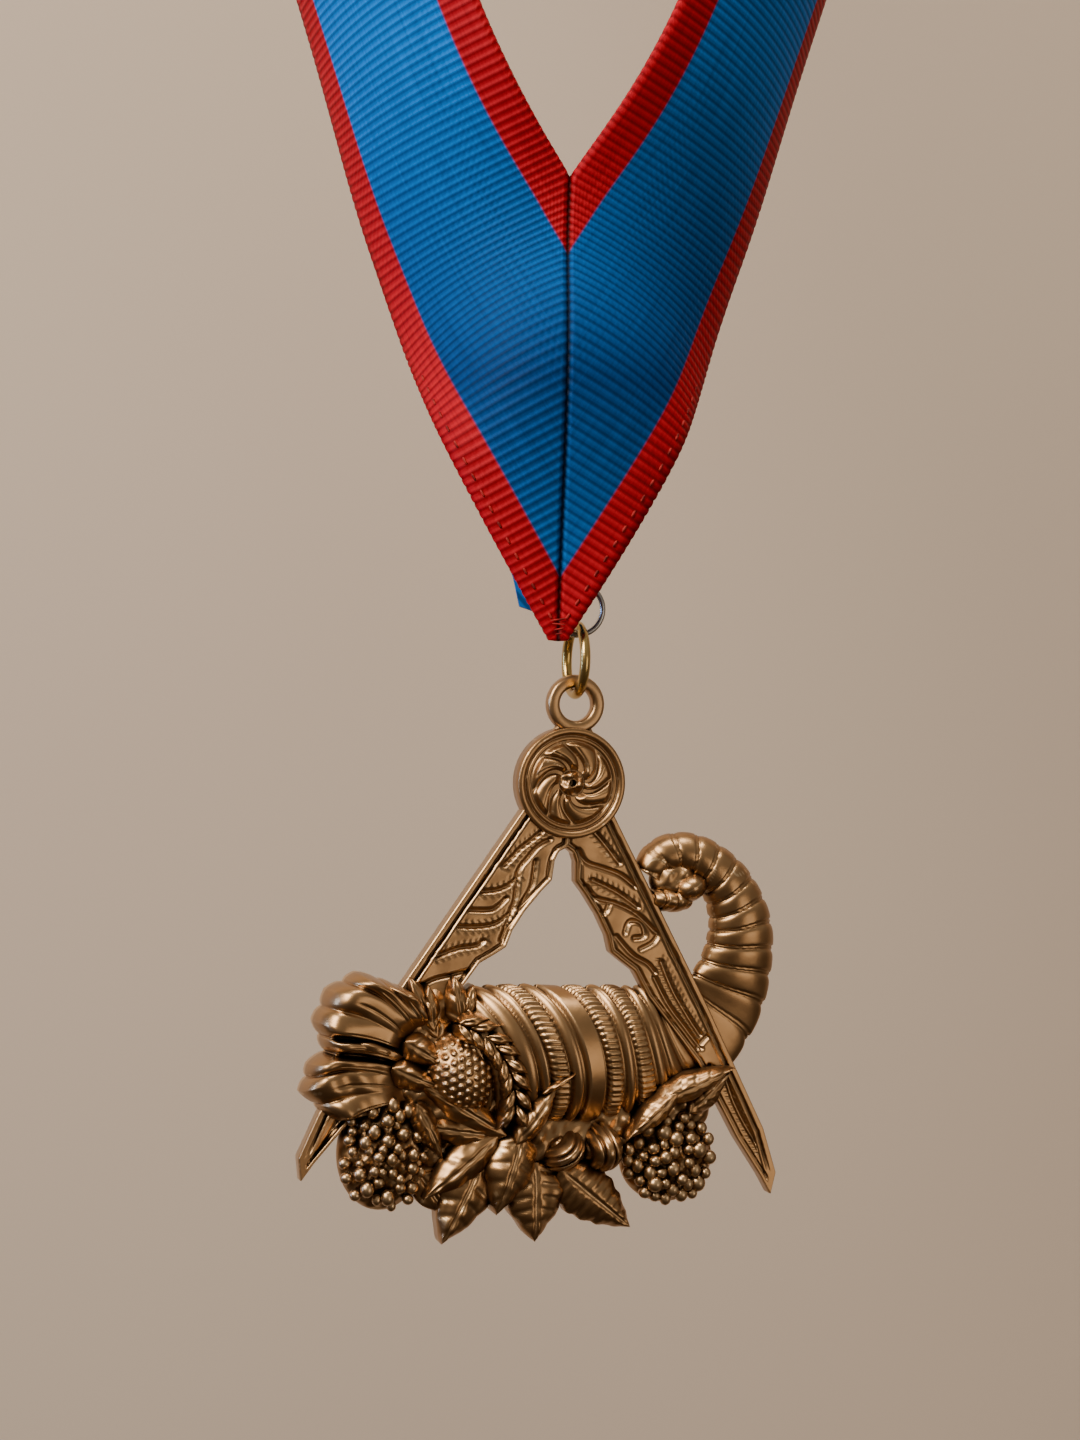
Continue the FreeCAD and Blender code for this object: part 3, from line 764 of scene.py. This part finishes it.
def head():
    """The round boss: double rim, dished field, a swirl of petals and a small drilled boss."""
    back_radii = [head_radius, head_radius - 0.1, 6.0, 3.0, 0.02]
    radii = np.concatenate([np.linspace(0.02, head_radius, 110), back_radii])
    turns = np.linspace(0, 2 * math.pi, 264, endpoint=False)
    r, turn = np.meshgrid(radii, turns, indexing="ij")
    height = 1.35 - 0.12 * smooth_step(2.0, 5.4, r)
    outer_rim = np.sqrt(np.clip(1 - ((r - 6.82) / 0.62) ** 2, 0, 1))
    inner_rim = np.sqrt(np.clip(1 - ((r - 5.86) / 0.34) ** 2, 0, 1))
    rim_base = 1.05 * smooth_step(5.4, 5.7, r) * (1 - smooth_step(7.2, 7.35, r))
    height = np.where(r > 5.5, 1.05 + 0.65 * outer_rim + 0.40 * inner_rim, height)
    height = np.where(r > 7.28, rim_base + 0.7, height)
    swirl = 0.78 * smooth_step(1.6, 5.6, r) + 0.25
    phase = ((turn - swirl + 0.10 * np.sin(turn * 3)) * petals / (2 * math.pi)) % 1.0
    half_petal = 0.32 + 0.14 * smooth_step(2.0, 4.4, r)
    petal = np.sqrt(np.clip(1 - ((phase - 0.45) / half_petal) ** 2, 0, 1))
    petal -= 0.10 * np.exp(-((phase - 0.62) / 0.05) ** 2) * petal
    body = smooth_step(1.6, 2.6, r) * (1 - smooth_step(4.8, 5.5, r))
    height += 0.85 * petal * body * (0.88 + 0.12 * np.cos(turn * 2 + 1))
    boss = np.sqrt(np.clip(1 - (r / boss_radius) ** 2, 0, 1))
    knobs = 0.36 * np.cos(turn * 3 + 0.6) * smooth_step(0.5, 1.0, r) * (1 - smooth_step(1.3, 1.7, r))
    height = np.where(r < boss_radius, 0.95 + 1.15 * boss + knobs, height)
    height -= 1.7 * (1 - smooth_step(drill_radius - 0.08, drill_radius + 0.10, r))
    height[-len(back_radii):] = -leg_back
    middle = from_compasses(r * np.cos(turn), height, head_drop - r * np.sin(turn))
    return from_jewel(middle), True


def eye():
    """The round loop that the jump ring passes through, with blunt edges."""
    turns = np.linspace(0, 2 * math.pi, 120, endpoint=False)
    angle = np.linspace(0, 2 * math.pi, 28, endpoint=False)
    turn, a = np.meshgrid(turns, angle, indexing="ij")
    blunt = 0.62
    wide = eye_half_width * np.sign(np.cos(a)) * np.abs(np.cos(a)) ** blunt
    thick = eye_half_thickness * np.sign(np.sin(a)) * np.abs(np.sin(a)) ** blunt
    r = eye_radius + wide
    ring = from_compasses(r * np.cos(turn), thick, r * np.sin(turn))
    ring = np.concatenate([ring, ring[:1]], axis=0)
    return from_jewel(ring), True


def neck():
    """The rounded flare between the eye and the head."""
    turns = np.linspace(0, 2 * math.pi, 40, endpoint=False)
    rows = []
    for down, half, thick in neck_rows:
        side = half * np.cos(turns)
        height = thick * np.sign(np.sin(turns)) * np.abs(np.sin(turns)) ** 0.5
        rows.append(from_compasses(side, height, np.full(turns.shape, down)))
    return from_jewel(np.array(rows)), True


def compasses(material):
    grids = [leg(-1, left_engraving), leg(1, right_engraving), head(), eye(), neck()]
    piece = mesh_object("compasses", grids, material)
    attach(piece, "pendant")
    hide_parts("jewel")


# Horn


def band_profile(side, turn):
    """Height of the horn's bands over its body; side is the place at the front."""
    height = np.full(side.shape, -groove_depth)
    for kind, start, end in horn_bands:
        middle, half = (start + end) / 2, (end - start) / 2
        reach = np.abs(side - middle) / half
        if kind == "plain":
            band = 0.10 * (1 - smooth_step(0.82, 1.05, reach))
        elif kind == "notched":
            notch = np.abs(((turn * notches) % 1.0) - 0.5) * 2
            cut = 1 - smooth_step(0.20, 0.50, notch)
            band = band_height * np.sqrt(np.clip(1 - reach ** 4, 0, 1))
            band -= 0.035 * cut * (reach < 0.98)
        else:
            band = band_height * np.sqrt(np.clip(1 - reach ** 2, 0, 1))
        height = np.maximum(height, band - groove_depth)
    return height


def tail_profile(length, angle):
    """Height of the ribs round the horn's tail; length is that from the mouth."""
    pitch = np.interp(length, *zip(*tail_pitches))
    beat = np.cumsum(np.gradient(length) / pitch)
    phase = (beat[:, None] + 0.10 * np.sin(angle * 2)) % 1.0
    rib = np.sqrt(np.clip(1 - np.abs(2 * phase - 1) ** 3.2, 0, 1))
    second = 0.04 * (1 - smooth_step(0.02, 0.06, np.abs(phase - 0.14)))
    return 0.12 * rib - 0.09 - second


def even_line(table, rows):
    """Places evenly spaced by length along a curve through a table's rows, and the lengths."""
    position = np.linspace(0, len(table) - 1, rows)
    line = follow(table, position)
    steps = np.hypot(np.diff(line[:, 0]), np.diff(line[:, 1]))
    length = np.concatenate([[0], np.cumsum(steps)])
    even = np.interp(np.linspace(0, length[-1], rows), length, position)
    return even, np.linspace(0, length[-1], rows)


def horn(material):
    rows, columns = 560, 170
    last = len(horn_rows) - 1
    even, length = even_line(horn_rows, rows)
    ahead = follow(horn_rows, np.minimum(even + 0.03, last))
    behind = follow(horn_rows, np.maximum(even - 0.03, 0))
    along = (ahead - behind)[:, :2]
    along = along / np.hypot(along[:, 0], along[:, 1])[:, None]
    across = np.stack([-along[:, 1], along[:, 0]], axis=1)
    side, up, half_width, front, lean = follow(horn_rows, even).T[:, :, None]
    angle = np.tile(np.linspace(-0.12, math.pi + 0.12, columns), (rows, 1))
    slant = np.interp(side, [-16.0, 18.0], [3.0, 1.3])
    bands = band_profile(side + 2.6 + slant * np.cos(angle), angle / math.pi)
    body = 1 - smooth_step(32.5, 35.0, length)[:, None]
    scale = 1 + bands * body + tail_profile(length, angle) * (1 - body)
    scale *= 1 + 0.008 * ripple(np.tile(length[:, None], columns), angle * 9, 7.0, 3)
    wide = half_width * scale * np.cos(angle)
    high = (front + flat_back) * scale * np.sin(angle)
    x = side + across[:, :1] * wide + along[:, :1] * lean * high
    z = up + across[:, 1:] * wide + along[:, 1:] * lean * high
    points = np.stack([x, np.minimum(flat_back - high, flat_back), z], axis=-1)
    middle = points.mean(axis=1, keepdims=True)
    middle[..., 1] = flat_back - 0.3
    mouth = np.repeat(middle[:1], columns, axis=1)
    cap = np.repeat(middle[-1:], columns, axis=1)
    points = np.concatenate([mouth, points, cap], axis=0)
    piece = mesh_object("horn", [(from_jewel(points), True)], material)
    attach(piece, "pendant")


# Fruit


def leaf(root, point, width, height, curl, veins):
    """A veined leaf over the bed, its sides rolled by curl and its edge gently scalloped."""
    root, point = np.array(root), np.array(point)
    along, across = np.linspace(0, 1, 46), np.linspace(-1, 1, 31)
    u, v = np.meshgrid(along, across, indexing="ij")
    way = point - root
    length = np.hypot(*way)
    way = way / length
    side = np.array([-way[1], way[0]])
    outline = np.sin(np.clip(u, 0, 1) ** 0.8 * math.pi) ** 0.75 * (1 - 0.25 * u) + 0.16 * (1 - u)
    outline *= 1 + 0.05 * np.sin(u * veins * math.pi)
    reach = v * outline * width / 2
    x = root[0] + way[0] * u * length + side[0] * reach
    z = root[1] + way[1] * u * length + side[1] * reach
    bulge = 1 - np.abs(v) ** 2.2
    slope = height * (0.62 + 0.38 * np.sin(math.pi * (0.15 + 0.7 * u)))
    top = slope * (0.45 + 0.55 * bulge)
    top += curl * 0.8 * smooth_step(0.5, 0.95, np.abs(v)) * np.sin(u * math.pi)
    top -= 0.34 * np.exp(-(v * outline * width / 0.55) ** 2) * smooth_step(0.02, 0.2, u)
    beat = (u * veins * 0.9 - 0.55 * np.abs(v)) % 1.0
    top -= 0.22 * np.exp(-((beat - 0.5) / 0.16) ** 2) * smooth_step(0.06, 0.3, np.abs(v))
    top += 0.07 * ripple(x, z, 2.2, int(width * 10 + veins))
    front = np.stack([x, -top, z], axis=-1)
    flank = front[:, ::-1].copy()[:, ::10]
    flank[..., 1] = flat_back
    return from_jewel(np.concatenate([front, flank], axis=1)), True


def fan_leaf(root_side, root_up, root_width, height, fold, lobes):
    """A thick broad leaf spreading from a wide root to rounded rolled lobes, with one deep fold."""
    count = len(lobes)
    place = np.linspace(-0.48, count - 0.52, 140)
    p, t = np.meshgrid(place, np.linspace(0, 1, 66), indexing="ij")
    r = 1 - (1 - t) ** 1.5
    numbers = np.arange(-1, count + 1)
    before = (2 * lobes[0][0] - lobes[1][0], 0.8 * lobes[0][1])
    after = (2 * lobes[-1][0] - lobes[-2][0], 0.8 * lobes[-1][1])
    degrees, reaches = zip(before, *lobes, after)
    a = np.radians(np.interp(p, numbers, degrees)) - 0.34 * (1 - r)
    a += 0.24 * np.sin(p * 2.3 + 0.6) * r * (1 - r)
    lobe_round = np.sqrt(np.clip(1 - np.abs(1.96 * (p - np.round(p))) ** 2.3, 0, 1))
    radius = np.interp(p, numbers, reaches) * r * (1 - 0.065 * (1 - lobe_round) * r ** 3)
    middle = math.radians(sum(degrees) / len(degrees))
    shift = root_width * ((p + 0.5) / count - 0.5) * (1 - 0.8 * r)
    x = root_side + np.cos(a) * radius - math.sin(middle) * shift
    z = root_up + np.sin(a) * radius + math.cos(middle) * shift
    top = height * (0.72 + 0.28 * np.sin(math.pi * (0.10 + 0.62 * r)))
    top *= 0.40 + 0.60 * smooth_step(0.0, 0.32, r)
    top += 0.75 * (lobe_round - 0.6) * smooth_step(0.15, 0.75, r)
    crease = np.exp(-((p - np.round(p) - 0.16) / 0.05) ** 2)
    top -= 0.16 * crease * smooth_step(0.15, 0.35, r) * (1 - smooth_step(0.62, 0.80, r))
    folded = smooth_step(0.05, 0.30, r) * (1 - smooth_step(0.78, 0.93, r))
    top -= 1.7 * np.exp(-((p - fold) / 0.16) ** 2) * folded
    top += 0.55 * np.exp(-((r - 0.78) / 0.14) ** 2) * lobe_round
    edge = np.minimum(p + 0.48, count - 0.52 - p)
    top -= 1.0 * (1 - smooth_step(0.0, 0.30, edge))
    top += 0.16 * ripple(x, z, 4.4, count)
    rolled = np.sqrt(np.clip(1 - np.clip((r - 0.80) / 0.20, 0, 1) ** 2.4, 0, 1))
    top = (top + flat_back) * rolled - flat_back
    front = np.stack([x, -top, z], axis=-1)
    back = front[:, ::-1].copy()[:, ::9]
    back[..., 1] = flat_back
    return from_jewel(np.concatenate([front, back], axis=1)), True


def dome(side, up, half_width, half_height, height, rough=0.0, detail=48,
         turn=0.0, groove=0, dimples=False):
    """A rounded seed, berry or bed that stands on the flat back."""
    angle = np.linspace(0, 2 * math.pi, detail * 2, endpoint=False)
    rise = np.linspace(0, math.pi / 2, detail)
    r, a = np.meshgrid(rise, angle, indexing="ij")
    u, v = np.cos(r) * np.cos(a), np.cos(r) * np.sin(a)
    scale = np.ones_like(u)
    if groove:
        scale -= 0.10 * np.exp(-((((u + 0.25 * v * v) * groove) % 1.0 - 0.5) / 0.13) ** 2)
    cos, sin = math.cos(math.radians(turn)), math.sin(math.radians(turn))
    x, z = u * half_width, v * half_height
    tall = (height + flat_back) * np.sin(r) * scale
    if dimples:
        row = z / 1.02
        column = x / 1.15 + 0.5 * (np.floor(row) % 2)
        bump = np.hypot((column % 1.0) - 0.5, (row % 1.0) - 0.5)
        tall += 0.34 * (1 - smooth_step(0.12, 0.46, bump)) * smooth_step(0.12, 0.4, np.sin(r))
    x, z = (x * cos - z * sin) * scale, (x * sin + z * cos) * scale
    tall += rough * ripple(x, z, 2.1, 11) * smooth_step(0.0, 0.5, np.sin(r))
    front = np.stack([x + side, flat_back - tall, z + up], axis=-1)
    base = np.broadcast_to(np.array([side, flat_back, up]), front[:1].shape)
    return from_jewel(np.concatenate([base, front], axis=0)), True


def ball(side, up, height, radius, long_way=1.0):
    """A berry; long_way stretches it upward."""
    angle = np.linspace(0, 2 * math.pi, 16, endpoint=False)
    rise = np.linspace(-math.pi / 2, math.pi / 2, 11)
    r, a = np.meshgrid(rise, angle, indexing="ij")
    x = np.cos(r) * np.cos(a) * radius
    z = np.cos(r) * np.sin(a) * radius * long_way
    y = -np.sin(r) * radius
    return from_jewel(np.stack([x + side, y - height, z + up], axis=-1)), True


def bunch(side, up, half_width, half_height, count, smallest, largest):
    """A bunch of round berries, unevenly spread over a dark hollowed mound."""
    grids = [dome(side, up, half_width * 1.02, half_height * 1.02, 1.9, rough=0.45, detail=56)]
    places = []
    tries = 0
    while len(places) < count and tries < 6000:
        tries += 1
        angle, reach = chance.uniform(0, 2 * math.pi), math.sqrt(chance.uniform(0, 1)) * 0.97
        x, z = reach * math.cos(angle) * half_width, reach * math.sin(angle) * half_height
        radius = chance.uniform(smallest, largest)
        if all(math.hypot(x - p[0], z - p[1]) > (radius + p[2]) * 0.82 for p in places):
            places.append((x, z, radius))
    for x, z, radius in places:
        reach = (x / half_width) ** 2 + (z / half_height) ** 2
        height = 3.3 * math.sqrt(max(1 - 0.8 * reach, 0.05)) + chance.uniform(-0.7, 0.3) - 0.5
        grids.append(ball(side + x, up + z, height, radius, chance.uniform(0.95, 1.25)))
        grids.append(ball(side + x, up + z, height - 0.6, radius * 0.8))
    return grids


def wheat():
    """An ear of wheat: a herringbone of overlapping grains along a bent stalk."""
    grids = []
    line = follow(wheat_middle, np.linspace(0, len(wheat_middle) - 1, 60))
    for number in range(grain_pairs):
        index = 2 + int(number * 52 / grain_pairs)
        way = line[index + 3] - line[index]
        way /= np.hypot(*way)
        side = np.array([-way[1], way[0]])
        for hand in (1, -1):
            root = line[index] + side * hand * 0.10
            point = root + way * grain_length + side * hand * grain_spread
            grids.append(leaf(root, point, grain_width, 6.0 - 0.12 * abs(number - 5), 0.0, 1))
    return grids


def pendant_piece(name, grids, material, first):
    """A piece of the pendant; first is the number of steps that its first form stands forward."""
    forward = from_jewel(np.array([0.0, -form_gap, 0.0])) - from_jewel(np.zeros(3))
    placed = []
    for number, (grid, wrap) in enumerate(grids):
        placed.append((grid + forward * (first + number % 20), wrap))
    piece = mesh_object(name, placed, material)
    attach(piece, "pendant")


def fruit(material):
    """The leaves with the wheat, the strawberry with the beds and seeds, and the berries."""
    foliage = [leaf(row[1:3], row[3:5], *row[5:]) for row in leaves]
    foliage += [fan_leaf(*row) for row in fan_leaves]
    pendant_piece("leaves", foliage + wheat(), material, 1)
    mounds = [dome(*row) for row in beds]
    mounds.append(dome(-14.7, -48.1, 5.1, 6.1, 6.0, turn=28, dimples=True, detail=96))
    mounds.append(dome(14.6, -23.0, 3.6, 2.8, 1.3, rough=0.25))
    mounds.append(dome(16.3, -23.9, 2.6, 2.1, 2.5, turn=20))
    mounds.append(dome(13.6, -25.6, 3.5, 1.7, 2.1, turn=-6, groove=2))
    for row in seeds:
        mounds.append(dome(*row[:5], turn=row[5], groove=2))
    pendant_piece("fruit", mounds, material, 21)
    berries = []
    for row in bunches:
        berries += bunch(*row)
    pendant_piece("berries", berries, material, 41)


def dress_cad_node(name, material):
    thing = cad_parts[name]
    thing.data.materials.clear()
    thing.data.materials.append(material)


# Stage


def backdrop():
    """A plain backdrop; seen from behind it is clear, so that the back of the jewel shows."""
    material, tree, shader = node_material("plain_backdrop")
    tone = add_node(tree, "TexNoise", {"Vector": object_place(tree), "Scale": 3.0})
    shade = ramp(tree, tone.outputs["Fac"], [(0.3, (0.52, 0.415, 0.315)), (0.7, (0.56, 0.45, 0.345))])
    fill(tree, shader, {"Base Color": shade, "Roughness": 0.9})
    geometry = tree.nodes.new("ShaderNodeNewGeometry")
    clear = tree.nodes.new("ShaderNodeBsdfTransparent")
    sides = {0: geometry.outputs["Backfacing"], 1: shader.outputs["BSDF"], 2: clear.outputs["BSDF"]}
    one_sided = add_node(tree, "MixShader", sides)
    fill(tree, tree.nodes["Material Output"], {"Surface": one_sided.outputs["Shader"]})
    mesh = bpy.data.meshes.new("backdrop")
    corners = [(-1.6, 0.16, -1.4), (1.6, 0.16, -1.4), (1.6, 0.16, 0.9), (-1.6, 0.16, 0.9)]
    mesh.from_pydata(corners, [], [(0, 1, 2, 3)])
    mesh.materials.append(material)
    add_object("backdrop", mesh)


def area_light(name, place, size, power, colour):
    """A rectangular lamp that points at the jewel."""
    light = bpy.data.lights.new(name, "AREA")
    light.shape = "RECTANGLE"
    light.size, light.size_y = size
    light.energy = power
    light.color = colour
    thing = add_object(name, light)
    thing.location = place
    way = Vector(lamps_aim) - Vector(place)
    thing.rotation_euler = way.to_track_quat("-Z", "Y").to_euler()


def lighting():
    for row in lamps:
        area_light(*row)
    world = bpy.data.worlds.new("room")
    bpy.context.scene.world = world
    world.use_nodes = True
    tree = world.node_tree
    way = tree.nodes.new("ShaderNodeTexCoord")
    split = add_node(tree, "SeparateXYZ", {"Vector": way.outputs["Generated"]})
    level = map_range(tree, split.outputs["Z"], -1, 1)
    tones = ramp(tree, level, [(0.0, (0.10, 0.065, 0.04)), (0.42, (0.30, 0.23, 0.17)),
                               (0.62, (0.62, 0.54, 0.45)), (1.0, (0.95, 0.88, 0.78))])
    fill(tree, tree.nodes["Background"], {"Color": tones, "Strength": 0.42})


def camera():
    azimuth = math.radians(camera_azimuth)
    right = Vector((math.cos(azimuth), math.sin(azimuth), 0))
    toward = Vector((math.sin(azimuth), -math.cos(azimuth), 0))
    aim = Vector(tip * mm) - right * camera_side - Vector((0, 0, camera_drop))
    lens = bpy.data.cameras.new("camera")
    lens.lens = lens_length
    lens.sensor_width = 36
    lens.clip_start = 0.01
    thing = add_object("camera", lens)
    facing = (-toward).to_track_quat("-Z", "Y").to_matrix().to_4x4()
    roll = Matrix.Rotation(math.radians(camera_roll), 4, "Z")
    thing.matrix_world = Matrix.Translation(aim + toward * camera_distance) @ facing @ roll
    bpy.context.scene.camera = thing


# Each metal's dark colour fills its hollows: painted shade, and on the brass also its patina
brass = metal("antique_brass_cast", dark=(0.028, 0.018, 0.012), middle=(0.46, 0.268, 0.124),
              bright=(0.74, 0.52, 0.30), roughness=0.30, cavity=0.0014)
gilt = metal("gilt_wire", dark=(0.16, 0.08, 0.02), middle=(0.66, 0.44, 0.14),
             bright=(0.85, 0.66, 0.32), roughness=0.22, cavity=0.0008)
steel = metal("steel_wire", dark=(0.10, 0.10, 0.10), middle=(0.42, 0.41, 0.40),
              bright=(0.65, 0.64, 0.62), roughness=0.28, cavity=0.0006)
ribbon = collar(ribbon_material())
stitch_piece = stitches(plain_cloth("crimson_thread", (0.34, 0.02, 0.02), 0.004))
compasses(brass)
horn(brass)
fruit(brass)
dress_cad_node("point_backing", plain_cloth("folded_ribbon_end", (0.001, 0.13, 0.50), 0.0035))
dress_cad_node("steel_ring", steel)
dress_cad_node("jump_ring", gilt)
backdrop()
lighting()
camera()
